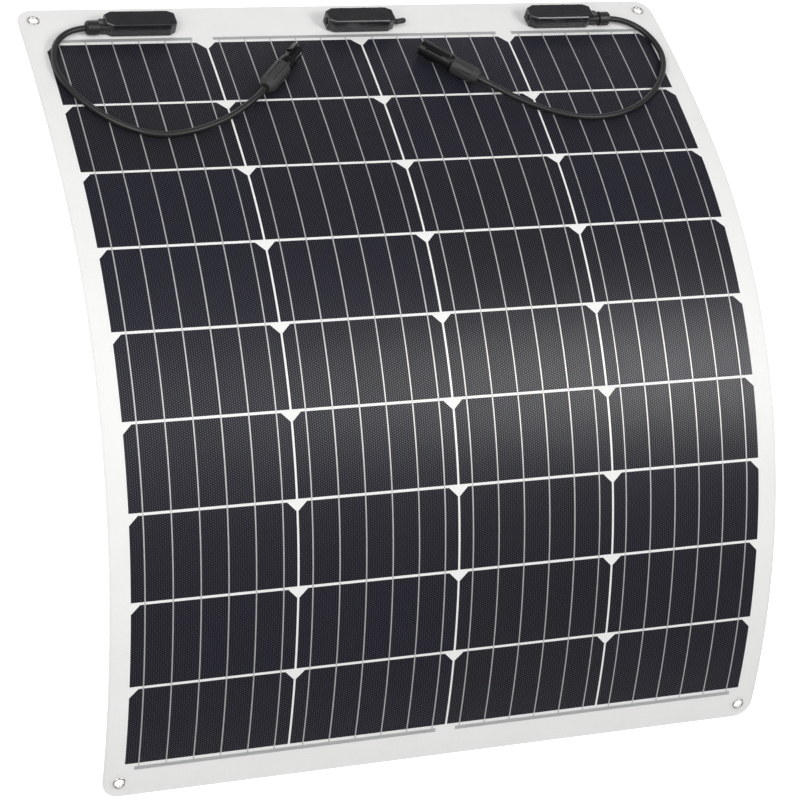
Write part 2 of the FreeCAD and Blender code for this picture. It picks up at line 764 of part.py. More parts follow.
def route_points(side, middle_places, connector):
    """The whole route: straight out of the gland, over the sheet, straight into the connector."""
    box = seat(BOX_ACROSS[0 if side < 0 else 2], BOX_ALONG, FILM)
    reach = BOX_LONG / 2 + GLAND_NECK[1]
    leaving = [
        box.multVec(Vector(side * (reach + run), GLAND_OFFSET, GLAND_HIGH)) for run in (0, LEAD_OUT)
    ]
    entering = [connector.multVec(Vector(x, 0, 0)) for x in (-LEAD_IN, BODY_START)]
    return leaving + [place(*p) for p in middle_places] + entering


def lead_tube(name, points):
    """A plain tube of straight runs joined by tangent arcs."""
    edges, reached, radii = [], points[0], []
    for before, corner, after in zip(points, points[1:], points[2:]):
        into, out = corner - before, after - corner
        turn = into.getAngle(out)
        cut = RUN_SHARE * min(into.Length, out.Length)
        radii.append(cut / math.tan(turn / 2))
        start = corner - into.normalize() * cut
        end = corner + out.normalize() * cut
        bulge = radii[-1] * (1 / math.cos(turn / 2) - 1)
        middle = corner + (out - into).normalize() * bulge
        edges.append(Part.LineSegment(reached, start).toShape())
        edges.append(Part.Arc(start, middle, end).toShape())
        reached = end
    edges.append(Part.LineSegment(reached, points[-1]).toShape())
    path = Part.Wire(edges)
    section = Part.makeCircle(LEAD / 2, points[0], points[1] - points[0])
    tube = path.makePipeShell([Part.Wire([section])], True, True)
    ideal = math.pi * (LEAD / 2) ** 2 * path.Length
    print(name, "length", round(path.Length, 1), "volume ratio", round(tube.Volume / ideal, 5))
    runs = [round((b - a).Length) for a, b in zip(points, points[1:])]
    print("  radii", [round(r) for r in radii], "runs", runs)
    print("  points in metres", [tuple(round(c / 1000, 5) for c in p) for p in points])
    return tube


make_sheet()
make_boxes()
make_connectors()
keep("lead_left", lead_tube("lead_left", route_points(-1, LEFT_ROUTE, PLUG_SEAT)))
keep("lead_right", lead_tube("lead_right", route_points(1, RIGHT_ROUTE, SOCKET_SEAT)))

whole = Part.makeCompound(list(MADE.values())).BoundBox
print(len(MADE), "nodes; size", whole.XLength, whole.YLength, whole.ZLength)
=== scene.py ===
import math

import bmesh
import bpy
from mathutils import Matrix, Vector


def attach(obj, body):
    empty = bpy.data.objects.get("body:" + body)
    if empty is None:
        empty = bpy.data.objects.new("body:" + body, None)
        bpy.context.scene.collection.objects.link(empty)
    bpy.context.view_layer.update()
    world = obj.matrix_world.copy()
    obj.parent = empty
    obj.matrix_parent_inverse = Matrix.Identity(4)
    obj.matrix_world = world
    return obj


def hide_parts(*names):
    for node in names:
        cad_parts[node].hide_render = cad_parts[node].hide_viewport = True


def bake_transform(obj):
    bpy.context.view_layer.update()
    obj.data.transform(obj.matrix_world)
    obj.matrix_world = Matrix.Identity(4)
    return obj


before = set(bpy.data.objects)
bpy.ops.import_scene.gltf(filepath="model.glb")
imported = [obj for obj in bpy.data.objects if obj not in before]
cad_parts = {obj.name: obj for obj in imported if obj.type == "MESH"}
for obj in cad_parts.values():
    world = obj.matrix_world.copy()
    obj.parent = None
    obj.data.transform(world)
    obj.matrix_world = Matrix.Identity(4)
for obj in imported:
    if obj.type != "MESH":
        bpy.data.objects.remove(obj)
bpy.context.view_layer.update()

# Flexible solar sheet, bent into a shallow arch. Metres, in the frame of the CAD model.
#
# Places on the sheet are (across, along, high): across is X, along is the distance on the
# cells' face from the junction-box end, and high is the height above that face.

MM = 0.001

# ---- sizes, as in the CAD source ----------------------------------------------------------
SHEET_WIDTH = 672 * MM
TOP_MARGIN = 50 * MM
BOTTOM_MARGIN = 35 * MM
CORNER_RADIUS = 17 * MM
ROWS = 9
ROW_PITCH = 81 * MM
COLUMNS = 4
COLUMN_PITCH = 158.75 * MM
COLUMN_GAP = 2.0 * MM
ROW_GAP = 2.5 * MM
CELL_CORNER = 8.5 * MM
BUSBARS = 6

HEAD_ROWS = 2
HEAD_BEND = 1.250
MIDDLE_BEND = 0.495
TAIL_BEND = 0.615
TAIL_BEND_ROWS = 2

LAMINATE = 2.0 * MM
RIBBON_THICK = 0.15 * MM
RIBBON_WIDE = 1.2 * MM
FILM = 0.4 * MM
BUS_WIDE = 4.0 * MM
BUS_FROM_CELLS = 3.4 * MM
# Bus ribbons: first and last column, and how far they pass the outer busbars, in millimetres.
HEAD_BUSES = ((0, 0, 4.0, 2.0), (1, 2, 5.0, 4.0), (3, 3, 7.0, 4.0))
TAIL_BUSES = ((0, 1, 4.0, 4.0), (2, 3, 4.0, 4.0))

EYELET_INSET = 15.5 * MM
EYELET_HOLE = 4.8 * MM
EYELET_BORE = 4.0 * MM
EYELET_BARREL = 4.7 * MM
EYELET_FLANGE = 6.3 * MM
EYELET_LIP = 0.7 * MM
EYELET_SEAT = 0.05 * MM

LEAD = 6.0 * MM

# Heights of the visible layers over the laminate's face. The cells start inside the laminate
# and the busbars inside the cells, so that no gap shows. The film is clear of the ribbons.
CELL_LOW = -0.2 * MM
CELL_TOP = 0.03 * MM
RIBBON_LOW = 0.01 * MM
FILM_LOW = 0.18 * MM
FILM_INSET = 0.2 * MM  # the film's edge inside the backsheet's

# Surface patterns, in millimetres on the flat sheet.
DOT_COLUMNS = 2.132  # the film's pressed dots: between columns, and down a column
DOT_STEP = 2.353
FINGER_PITCH = 1.5  # the silver lines printed across a cell
FINGER_WIDE = 0.08
GRUBBY_EDGE = 2.5

# How finely the sheet is divided along its length.
STATION_STEP = 5.4 * MM
STATION_NEAR_END = 0.4 * MM
CORNER_STEPS = 10

# ---- camera -------------------------------------------------------------------------------
CAMERA_AT = (-0.93099, -0.35940, 2.34026)
CAMERA_TURN = (10.3248, -20.6748, -7.7635)  # degrees
CAMERA_LENS = 116.983  # millimetres, on a sensor 36 wide

camera = bpy.data.objects.new("camera", bpy.data.cameras.new("camera"))
camera.location = CAMERA_AT
camera.rotation_euler = [math.radians(a) for a in CAMERA_TURN]
camera.data.lens = CAMERA_LENS
camera.data.sensor_width = 36
camera.data.clip_end = 60
bpy.context.scene.collection.objects.link(camera)
bpy.context.scene.camera = camera

# ---- the bend of the sheet ----------------------------------------------------------------
SHEET_LENGTH = TOP_MARGIN + ROWS * ROW_PITCH + BOTTOM_MARGIN


def row_line(row):
    """Distance along the sheet of the pitch line above a row, with rows counted from 0."""
    return TOP_MARGIN + row * ROW_PITCH


def out_of(angle):
    """Unit normal of the face where it rises at that angle towards -Y."""
    return Vector((0, math.sin(angle), math.cos(angle)))


class Bend:
    """One stretch of the sheet with a constant radius."""

    def __init__(self, start, end, radius, angle, point):
        self.start, self.end, self.radius, self.angle = start, end, radius, angle
        self.centre = point - out_of(angle) * radius

    def angle_at(self, along):
        """How steeply the face rises towards -Y there."""
        return self.angle - (along - self.start) / self.radius

    def point(self, along, high):
        """The point on the sheet's long section, with X at 0."""
        return self.centre + out_of(self.angle_at(along)) * (self.radius + high)


def make_bends(angle, point):
    """The three tangent stretches, from the junction-box end on."""
    ends = (
        (row_line(HEAD_ROWS), HEAD_BEND),
        (row_line(ROWS - TAIL_BEND_ROWS), MIDDLE_BEND),
        (SHEET_LENGTH, TAIL_BEND),
    )
    bends, start = [], 0.0
    for end, radius in ends:
        bends.append(Bend(start, end, radius, angle, point))
        angle, point = bends[-1].angle_at(end), bends[-1].point(end, 0)
        start = end
    return bends


def level_bends():
    """The stretches turned so that both rear end edges are on the floor, centred on the origin."""
    trial = make_bends(0.0, Vector())
    chord = trial[-1].point(SHEET_LENGTH, -LAMINATE) - trial[0].point(0, -LAMINATE)
    rise = -math.atan2(chord.z, -chord.y)
    trial = make_bends(rise, Vector())
    floor = trial[0].point(0, -LAMINATE).z
    middle = (trial[0].point(0, FILM).y + trial[-1].point(SHEET_LENGTH, FILM).y) / 2
    return make_bends(rise, Vector((0, -middle, -floor)))


BENDS = level_bends()


def bend_of(along):
    """The stretch that holds this distance along the sheet."""
    slack = 1e-9
    return next((b for b in BENDS if along <= b.end + slack), BENDS[-1])


def place(across, along, high=0.0):
    """A point given by its place on the sheet."""
    point = bend_of(along).point(along, high)
    return Vector((across, point.y, point.z))


def seat(across, along, high=0.0):
    """A matrix there: its Z leaves the sheet, its Y runs towards the junction-box end."""
    tilt = Matrix.Rotation(-bend_of(along).angle_at(along), 4, "X")
    return Matrix.Translation(place(across, along, high)) @ tilt


# ---- materials ----------------------------------------------------------------------------
def add(tree, kind, settings=None, **inputs):
    """A shader node. An input is a value or another node's output; _0, _1 name them by place."""
    node = tree.nodes.new("ShaderNode" + kind)
    for key, value in (settings or {}).items():
        setattr(node, key, value)
    for key, value in inputs.items():
        socket = node.inputs[int(key[1:])] if key[1:].isdigit() else node.inputs[key]
        if isinstance(value, bpy.types.NodeSocket):
            tree.links.new(value, socket)
        else:
            socket.default_value = value
    return node


def math_node(tree, operation, first, second=0.0, third=0.0, clamp=False):
    """The result of a math node on up to three values."""
    settings = {"operation": operation, "use_clamp": clamp}
    return add(tree, "Math", settings, _0=first, _1=second, _2=third).outputs[0]


def mix(tree, share, low, high):
    """A colour between two colours."""
    node = add(tree, "Mix", {"data_type": "RGBA"}, Factor=share)
    for socket, value in ((node.inputs[6], low), (node.inputs[7], high)):
        if isinstance(value, bpy.types.NodeSocket):
            tree.links.new(value, socket)
        else:
            socket.default_value = (*value, 1)
    return node.outputs[2]


def spread(tree, value, low, high):
    """Takes 0..1 to low..high."""
    return math_node(tree, "MULTIPLY_ADD", value, high - low, low)


def noise(tree, vector, scale, detail=3.0, rough=0.5):
    """A noise texture's value, about 0..1."""
    node = add(tree, "TexNoise", None, Vector=vector, Scale=scale, Detail=detail, Roughness=rough)
    return node.outputs[0]


def new_material(name, **constants):
    """A material with a Principled shader; returns the material, its tree and the shader."""
    material = bpy.data.materials.new(name)
    material.use_nodes = True
    tree = material.node_tree
    shader = tree.nodes["Principled BSDF"]
    for key, value in constants.items():
        shader.inputs[key.replace("_", " ")].default_value = value
    return material, tree, shader


def wire(tree, shader, **inputs):
    """Links outputs to the shader's inputs, with _ for the spaces in their names."""
    for key, value in inputs.items():
        tree.links.new(value, shader.inputs[key.replace("_", " ")])


def flat_places(tree):
    """The across and along of a point of the sheet, in millimetres, from its flat UV map."""
    flat = add(tree, "UVMap", {"uv_map": "flat"}).outputs[0]
    flat = add(tree, "VectorMath", {"operation": "SCALE"}, _0=flat, Scale=1000.0).outputs[0]
    parts = add(tree, "SeparateXYZ", None, _0=flat).outputs
    return flat, parts[0], parts[1]


def dimples(tree, across, along):
    """0..1: the dots pressed into the front film, in columns with every other one staggered."""
    columns, pairs, down = [
        math_node(tree, "COSINE", math_node(tree, "MULTIPLY", v, 2 * math.pi / pitch))
        for v, pitch in ((across, DOT_COLUMNS), (across, 2 * DOT_COLUMNS), (along, DOT_STEP))
    ]
    crossed = math_node(tree, "MULTIPLY", pairs, down)
    total = math_node(tree, "MULTIPLY_ADD", crossed, 2.0, columns)
    return math_node(tree, "MULTIPLY_ADD", total, 2 / 9, 1 / 3)  # the total is -1.5..3


def cell_look():
    """Dark silicon under the film: cells that differ a little, printed fingers, pressed dots, and
    the dots also painted lighter into the colour as a painted glint.
    """
    material, tree, shader = new_material(
        "cell", Coat_Weight=0.5, Coat_Roughness=0.31, Coat_IOR=1.75, IOR=1.2
    )
    flat, across, along = flat_places(tree)
    column = math_node(tree, "DIVIDE", across, COLUMN_PITCH / MM)
    column = math_node(tree, "FLOOR", math_node(tree, "ADD", column, COLUMNS / 2))
    row = math_node(tree, "SUBTRACT", along, TOP_MARGIN / MM)
    row = math_node(tree, "FLOOR", math_node(tree, "DIVIDE", row, ROW_PITCH / MM))
    index = add(tree, "CombineXYZ", None, X=column, Y=row, Z=3.7).outputs[0]
    own = add(tree, "TexWhiteNoise", {"noise_dimensions": "3D"}, Vector=index).outputs[0]
    clouds = noise(tree, flat, 0.012, 2.0)
    fine = noise(tree, flat, 0.9, 4.0, 0.65)
    dots = dimples(tree, across, along)
    base = mix(tree, own, (0.0078, 0.0073, 0.0118), (0.0073, 0.0077, 0.0165))
    base = mix(tree, spread(tree, clouds, -0.2, 0.6), base, (0.0120, 0.0115, 0.0160))
    finger = math_node(tree, "PINGPONG", along, FINGER_PITCH / 2)
    finger = math_node(tree, "GREATER_THAN", finger, (FINGER_PITCH - FINGER_WIDE) / 2)
    base = mix(tree, math_node(tree, "MULTIPLY", finger, 0.08), base, (0.06, 0.06, 0.065))
    # Painted glint: the film's dots made lighter in the cells' colour, standing in for the sheen
    # that lights them.
    base = mix(tree, math_node(tree, "MULTIPLY", dots, 0.03), base, (0.03, 0.03, 0.036))
    rough = spread(tree, fine, 0.35, 0.55)
    gloss = math_node(tree, "MULTIPLY_ADD", dots, 2.2, -0.7, clamp=True)
    height = math_node(tree, "MULTIPLY_ADD", fine, 0.15, dots)
    bump = add(tree, "Bump", None, Strength=1.0, Distance=0.05 * MM, Height=height).outputs[0]
    wire(tree, shader, Base_Color=base, Roughness=rough, Coat_Weight=gloss)
    wire(tree, shader, Normal=bump, Coat_Normal=bump)
    return material


def backsheet_look():
    """Warm white laminate with the film's dots, a faint mottle and a slightly grubby edge."""
    material, tree, shader = new_material(
        "backsheet", Coat_Weight=0.0, Coat_Roughness=0.35, IOR=1.38
    )
    flat, across, along = flat_places(tree)
    clouds = noise(tree, flat, 0.02, 3.0)
    fine = noise(tree, flat, 0.7, 4.0, 0.6)
    side = math_node(tree, "ABSOLUTE", across)
    side = math_node(tree, "SUBTRACT", side, SHEET_WIDTH / 2 / MM - GRUBBY_EDGE)
    edge = math_node(tree, "MULTIPLY", side, 0.4, clamp=True)
    base = mix(tree, clouds, (0.80, 0.795, 0.78), (0.85, 0.845, 0.835))
    base = mix(tree, math_node(tree, "MULTIPLY", edge, fine), base, (0.66, 0.65, 0.63))
    dots = dimples(tree, across, along)
    height = math_node(tree, "MULTIPLY_ADD", fine, 0.5, dots)
    bump = add(tree, "Bump", None, Strength=0.4, Distance=0.02 * MM, Height=height).outputs[0]
    wire(tree, shader, Base_Color=base, Roughness=spread(tree, fine, 0.38, 0.6), Normal=bump)
    return material


def film_look():
    """The clear film: nearly invisible, with its dots and a little haze."""
    material, tree, shader = new_material("front_film", Base_Color=(0.1, 0.1, 0.11, 1), IOR=1.42)
    flat, across, along = flat_places(tree)
    haze = noise(tree, flat, 0.03, 3.0)
    height = dimples(tree, across, along)
    bump = add(tree, "Bump", None, Strength=1.0, Distance=0.18 * MM, Height=height).outputs[0]
    wire(tree, shader, Normal=bump, Roughness=spread(tree, haze, 0.2, 0.34))
    shader.inputs["Alpha"].default_value = 0.03
    return material


def ribbon_look():
    """Tinned copper ribbon, drawn lengthwise, dull silver with darker flecks."""
    material, tree, shader = new_material("tinned_ribbon", Metallic=0.55)
    flat = flat_places(tree)[0]
    stretch = add(tree, "VectorMath", {"operation": "MULTIPLY"}, _0=flat, _1=(6.0, 0.25, 1.0))
    drawn = noise(tree, stretch.outputs[0], 1.4, 4.0, 0.6)
    flecks = noise(tree, flat, 0.35, 4.0, 0.6)
    base = mix(tree, drawn, (0.48, 0.48, 0.483), (0.64, 0.64, 0.642))
    base = mix(tree, spread(tree, flecks, -0.4, 0.7), base, (0.42, 0.42, 0.418))
    bump = add(tree, "Bump", None, Strength=0.5, Distance=0.02 * MM, Height=drawn).outputs[0]
    wire(tree, shader, Base_Color=base, Roughness=spread(tree, drawn, 0.4, 0.6), Normal=bump)
    return material


def plastic_look(name, dark, light, rough, grain=2600.0, wear=0.35, ior=1.5, deep=0.06 * MM):
    """Moulded plastic: fine spark-eroded grain, uneven gloss, and edges rubbed paler.

    Wear is how far the edges take the paler colour, and deep is the depth of the grain.
    """
    material, tree, shader = new_material(name, IOR=ior)
    place_at = add(tree, "TexCoord").outputs["Object"]
    clouds = noise(tree, place_at, 90.0, 4.0, 0.6)
    fine = noise(tree, place_at, grain, 3.0, 0.7)
    scuff = noise(tree, place_at, 520.0, 5.0, 0.7)
    round_normal = add(tree, "Bevel", {"samples": 4}, Radius=0.45 * MM).outputs[0]
    true_normal = add(tree, "NewGeometry").outputs["Normal"]
    along = add(tree, "VectorMath", {"operation": "DOT_PRODUCT"}, _0=round_normal, _1=true_normal)
    edge = math_node(tree, "SUBTRACT", 1.0, along.outputs["Value"])
    edge = math_node(tree, "MULTIPLY", edge, 3.0, clamp=True)
    edge = math_node(tree, "MULTIPLY", edge, spread(tree, scuff, 0.2, 1.4), clamp=True)
    base = mix(tree, clouds, dark, light)
    worn = tuple(min(1.0, c * 3.2 + 0.02) for c in light)
    base = mix(tree, math_node(tree, "MULTIPLY", edge, wear), base, worn)
    gloss = spread(tree, math_node(tree, "MULTIPLY_ADD", scuff, 0.5, clouds), *rough)
    height = math_node(tree, "MULTIPLY_ADD", scuff, 0.6, fine)
    bump = add(tree, "Bump", None, Strength=0.35, Distance=deep, Height=height).outputs[0]
    wire(tree, shader, Base_Color=base, Roughness=gloss, Normal=bump)
    return material


def metal_look(name, dark, light, rough):
    """Plated metal with a fine, rough surface and slightly dull patches."""
    material, tree, shader = new_material(name, Metallic=1.0)
    place_at = add(tree, "TexCoord").outputs["Object"]
    fine = noise(tree, place_at, 2800.0, 4.0, 0.65)
    clouds = noise(tree, place_at, 700.0, 3.0, 0.6)
    bump = add(tree, "Bump", None, Strength=0.3, Distance=0.03 * MM, Height=fine).outputs[0]
    base = mix(tree, clouds, dark, light)
    wire(tree, shader, Base_Color=base, Roughness=spread(tree, clouds, *rough), Normal=bump)
    return material


# Name, dark colour, light colour, and the range of roughness.
PLASTICS = (
    ("box_plastic", (0.008, 0.008, 0.0095), (0.014, 0.014, 0.016), (0.12, 0.24)),
    ("lid_plastic", (0.007, 0.007, 0.0085), (0.012, 0.012, 0.014), (0.14, 0.28)),
    ("gland_plastic", (0.012, 0.012, 0.012), (0.02, 0.02, 0.021), (0.3, 0.5)),
    ("nut_plastic", (0.022, 0.022, 0.022), (0.032, 0.032, 0.032), (0.5, 0.7)),
    ("connector_plastic", (0.004, 0.004, 0.0045), (0.007, 0.007, 0.0075), (0.24, 0.36)),
    ("lead_jacket", (0.007, 0.007, 0.0075), (0.012, 0.012, 0.0125), (0.34, 0.5)),
    ("seal_rubber", (0.02, 0.02, 0.021), (0.03, 0.03, 0.031), (0.6, 0.8)),
    ("diode_body", (0.01, 0.01, 0.01), (0.016, 0.016, 0.016), (0.35, 0.5)),
    ("potting", (0.05, 0.05, 0.052), (0.08, 0.08, 0.083), (0.16, 0.3)),
    ("adhesive", (0.42, 0.42, 0.4), (0.52, 0.52, 0.5), (0.5, 0.7)),
)
# What some of them have in place of the usual grain, wear, refraction and depth.
PLASTIC_OWN = {
    "box_plastic": {"ior": 1.6, "deep": 0.02 * MM},
    "lid_plastic": {"wear": 0.6, "deep": 0.02 * MM},
    "connector_plastic": {"ior": 1.3},
    "potting": {"grain": 900.0},
    "adhesive": {"grain": 900.0},
}
METALS = (
    ("eyelet_metal", (0.62, 0.61, 0.59), (0.74, 0.73, 0.71), (0.2, 0.36)),
    ("terminal_copper", (0.55, 0.53, 0.5), (0.7, 0.68, 0.65), (0.28, 0.45)),
    ("contact_metal", (0.7, 0.68, 0.63), (0.8, 0.78, 0.74), (0.18, 0.32)),
)

LOOKS = {
    "cell": cell_look(),
    "backsheet": backsheet_look(),
    "front_film": film_look(),
    "tinned_ribbon": ribbon_look(),
}
for row in PLASTICS:
    LOOKS[row[0]] = plastic_look(*row, **PLASTIC_OWN.get(row[0], {}))
for row in METALS:
    LOOKS[row[0]] = metal_look(*row)


def new_piece(name, data, slot, *nodes):
    """Adds an object with its material, which stands for those CAD nodes."""
    piece = bpy.data.objects.new(name, data)
    piece.data.materials.clear()
    piece.data.materials.append(LOOKS[slot])
    bpy.context.scene.collection.objects.link(piece)
    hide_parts(*nodes)
    return piece


# ---- the leads ----------------------------------------------------------------------------
# From the gland's mouth, out over the edge of the cells and back to the connector.
LEFT_ROUTE = [
    (-0.2656, 0.34675, 0.02755),
    (-0.2841, 0.34675, 0.02755),
    (-0.305, 0.33572, 0.03117),
    (-0.315, 0.31354, 0.04295),
    (-0.313, 0.28825, 0.05732),
    (-0.298, 0.26263, 0.07109),
    (-0.272, 0.23714, 0.08404),
    (-0.236, 0.22226, 0.09127),
    (-0.2, 0.22633, 0.08932),
    (-0.169, 0.23698, 0.08484),
    (-0.1485, 0.24839, 0.08183),
    (-0.12949, 0.26132, 0.07922),
    (-0.11526, 0.27481, 0.07172),
]
RIGHT_ROUTE = [
    (0.2666, 0.34675, 0.02755),
    (0.2851, 0.34675, 0.02755),
    (0.307, 0.33743, 0.03012),
    (0.319, 0.31787, 0.04042),
    (0.32, 0.29526, 0.05341),
    (0.306, 0.26973, 0.06735),
    (0.279, 0.24477, 0.08024),
    (0.243, 0.22904, 0.08801),
    (0.204, 0.22633, 0.08932),
    (0.17, 0.23518, 0.08573),
    (0.141, 0.24812, 0.08242),
    (0.1132, 0.26685, 0.07618),
    (0.0979, 0.27941, 0.06918),
]


def lead(name, route, node):
    """A round cord along its route, which rides on the head of the sheet."""
    curve = bpy.data.curves.new(name, "CURVE")
    curve.dimensions = "3D"
    curve.bevel_depth = LEAD / 2
    curve.bevel_resolution = 7
    curve.use_fill_caps = True
    spline = curve.splines.new("NURBS")
    spline.points.add(len(route) - 1)
    for point, at in zip(spline.points, route):
        point.co = (*at, 1)
    spline.order_u = 3
    spline.use_endpoint_u = True
    spline.resolution_u = 12
    piece = new_piece(name, curve, "lead_jacket", node)
    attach(piece, "head")
    return piece


left_lead = lead("left_lead", LEFT_ROUTE, "lead_left")
right_lead = lead("right_lead", RIGHT_ROUTE, "lead_right")


# ---- the laminated sheet ------------------------------------------------------------------
# The sheet bends at the seven row lines, halfway along a stretch one row long. So the visible
# layers are cut in the middle of the rows. A stretch in between stays where it lies; only the head
# and the tail go with a body.
BODIES = ["head", "row_3", "row_4", "row_5", "row_6", "row_7", "row_8", "tail"]
HALF_ROW = ROW_PITCH / 2


def stretches():
    """(name, start, end, bodies) of the stretches of the visible sheet."""
    found = [("head", 0.0, row_line(HEAD_ROWS) - HALF_ROW, BODIES[:1])]
    for k, pair in enumerate(zip(BODIES, BODIES[1:])):
        line = row_line(HEAD_ROWS + k)
        found.append((f"bend_{k + 1}", line - HALF_ROW, line + HALF_ROW, list(pair)))
    found.append(("tail", found[-1][2], SHEET_LENGTH, BODIES[-1:]))
    return found


def column_middle(column):
    """Where the middle of a column of cells is across the sheet."""
    return (column - (COLUMNS - 1) / 2) * COLUMN_PITCH


def cell_outline(row, column):
    """A half cell, with the two corners towards the junction boxes clipped."""
    half = (COLUMN_PITCH - COLUMN_GAP) / 2
    left, right = column_middle(column) - half, column_middle(column) + half
    start, end = row_line(row) + ROW_GAP / 2, row_line(row + 1) - ROW_GAP / 2
    clip = CELL_CORNER
    return [
        (left + clip, start),
        (right - clip, start),
        (right, start + clip),
        (right, end),
        (left, end),
        (left, start + clip),
    ]


def busbar_places(column):
    """Where a column's busbars are across the sheet."""
    pitch = (COLUMN_PITCH - COLUMN_GAP) / BUSBARS
    return [column_middle(column) + (k - (BUSBARS - 1) / 2) * pitch for k in range(BUSBARS)]


def rectangle(left, right, start, end):
    """A rectangle on the flat sheet."""
    return [(left, start), (right, start), (right, end), (left, end)]


def arc(across, along, radius, first, last, steps):
    """Points of an arc on the flat sheet, angles in degrees."""
    turns = [math.radians(first + (last - first) * k / steps) for k in range(steps + 1)]
    return [(across + radius * math.cos(t), along + radius * math.sin(t)) for t in turns]


def sheet_outline(inset):
    """The whole sheet with its four rounded corners."""
    right = SHEET_WIDTH / 2 - inset
    radius = CORNER_RADIUS - inset
    near, far = inset + radius, SHEET_LENGTH - inset - radius
    inner = right - radius
    ring = []
    for k, middle in enumerate([(inner, near), (inner, far), (-inner, far), (-inner, near)]):
        ring += arc(*middle, radius, 90 * k - 90, 90 * k, CORNER_STEPS)
    return ring


def eyelet_spots():
    """(across, along) of the eyelets: two on the head, then two on the tail."""
    across = SHEET_WIDTH / 2 - EYELET_INSET
    return [(s * across, a) for a in (EYELET_INSET, SHEET_LENGTH - EYELET_INSET) for s in (-1, 1)]


# The edges, nearest to the junction boxes, of the bus ribbons at the two ends.
TOP_BUS = row_line(0) + ROW_GAP / 2 - BUS_FROM_CELLS - BUS_WIDE
BOTTOM_BUS = row_line(ROWS) - ROW_GAP / 2 + BUS_FROM_CELLS


def filled(rings):
    """A flat mesh of one outline and the holes in it."""
    flat = bmesh.new()
    for ring in rings:
        verts = [flat.verts.new((x, y, 0)) for x, y in ring]
        for a, b in zip(verts, verts[1:] + verts[:1]):
            flat.edges.new((a, b))
    bmesh.ops.triangle_fill(flat, use_beauty=True, edges=flat.edges[:], normal=(0, 0, 1))
    return flat


def polygons(outlines):
    """A flat mesh with one face for each outline."""
    flat = bmesh.new()
    for ring in outlines:
        flat.faces.new([flat.verts.new((x, y, 0)) for x, y in ring])
    return flat


def stations(start, end):
    """Where a stretch is divided: at even steps, and close to its ends, where the next
    stretch's shading has to meet its own."""
    steps = round((end - start) / STATION_STEP)
    inner = [start + (end - start) * k / steps for k in range(1, steps)]
    return [start + STATION_NEAR_END, *inner, end - STATION_NEAR_END]


def cut_at(flat, along, **keep):
    """Cuts a flat mesh across the sheet; clear_inner or clear_outer removes one side."""
    geometry = flat.verts[:] + flat.edges[:] + flat.faces[:]
    bmesh.ops.bisect_plane(
        flat, geom=geometry, dist=1e-7, plane_co=(0, along, 0), plane_no=(0, 1, 0), **keep
    )


def laid(flat, start, end, low, top):
    """A solid layer of the bent sheet over part of a flat mesh, with its flat UV map."""
    part = flat.copy()
    cut_at(part, start, clear_inner=True)
    cut_at(part, end, clear_outer=True)
    if not part.faces:
        return None
    for along in stations(start, end):
        cut_at(part, along)
    bmesh.ops.remove_doubles(part, verts=part.verts[:], dist=1e-7)
    rim = bmesh.ops.extrude_face_region(part, geom=part.faces[:])
    upper = {v for v in rim["geom"] if isinstance(v, bmesh.types.BMVert)}
    for v in part.verts:
        v.co.z = top if v in upper else low
    bmesh.ops.recalc_face_normals(part, faces=part.faces[:])
    map_layer = part.loops.layers.uv.new("flat")
    for face in part.faces:
        face.smooth = True
        for loop in face.loops:
            loop[map_layer].uv = loop.vert.co.xy
    for v in part.verts:
        v.co = place(*v.co)
    part.normal_update()
    for edge in part.edges:
        edge.smooth = len(edge.link_faces) == 2 and edge.calc_face_angle() < math.radians(35)
    mesh = bpy.data.meshes.new("layer")
    part.to_mesh(mesh)
    part.free()
    return mesh


def bus_outlines():
    """The bus ribbons at the two ends, each from its first column's busbars to its last's."""
    return [
        rectangle(
            busbar_places(first)[0] - past_left * MM,
            busbar_places(last)[-1] + past_right * MM,
            start,
            start + BUS_WIDE,
        )
        for start, buses in ((TOP_BUS, HEAD_BUSES), (BOTTOM_BUS, TAIL_BUSES))
        for first, last, past_left, past_right in buses
    ]


def sheet_layers():
    """(name, slot, flat mesh, low, top) of the layers of the sheet."""
    holes = [arc(x, y, EYELET_HOLE, 0, 345, 23) for x, y in eyelet_spots()]
    cells = [cell_outline(r, c) for r in range(ROWS) for c in range(COLUMNS)]
    half = RIBBON_WIDE / 2
    bars = [
        rectangle(x - half, x + half, TOP_BUS + BUS_WIDE, BOTTOM_BUS)
        for c in range(COLUMNS)
        for x in busbar_places(c)
    ]
    return [
        ("laminate", "backsheet", filled([sheet_outline(0)] + holes), -LAMINATE, 0),
        ("cells", "cell", polygons(cells), CELL_LOW, CELL_TOP),
        ("busbars", "tinned_ribbon", polygons(bars), RIBBON_LOW, RIBBON_THICK),
        ("bus_ribbons", "tinned_ribbon", polygons(bus_outlines()), RIBBON_LOW, RIBBON_THICK),
        ("front_film", "front_film", filled([sheet_outline(FILM_INSET)] + holes), FILM_LOW, FILM),
    ]


def make_sheet():
    """Every layer, one piece to a stretch, in place of its nodes on that stretch's bodies."""
    for layer, slot, flat, low, top in sheet_layers():
        layer_bodies = ["head", "tail"] if layer == "bus_ribbons" else BODIES
        for name, start, end, bodies in stretches():
            mesh = laid(flat, start, end, low, top)
            if mesh is None:
                continue
            nodes = [f"{layer}_{body}" for body in bodies if body in layer_bodies]
            piece = new_piece(f"{layer}_at_{name}", mesh, slot, *nodes)
            if len(bodies) == 1:
                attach(piece, bodies[0])
            else:
                place(0, start)
                place(0, end)
                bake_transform(piece)
        flat.free()


make_sheet()


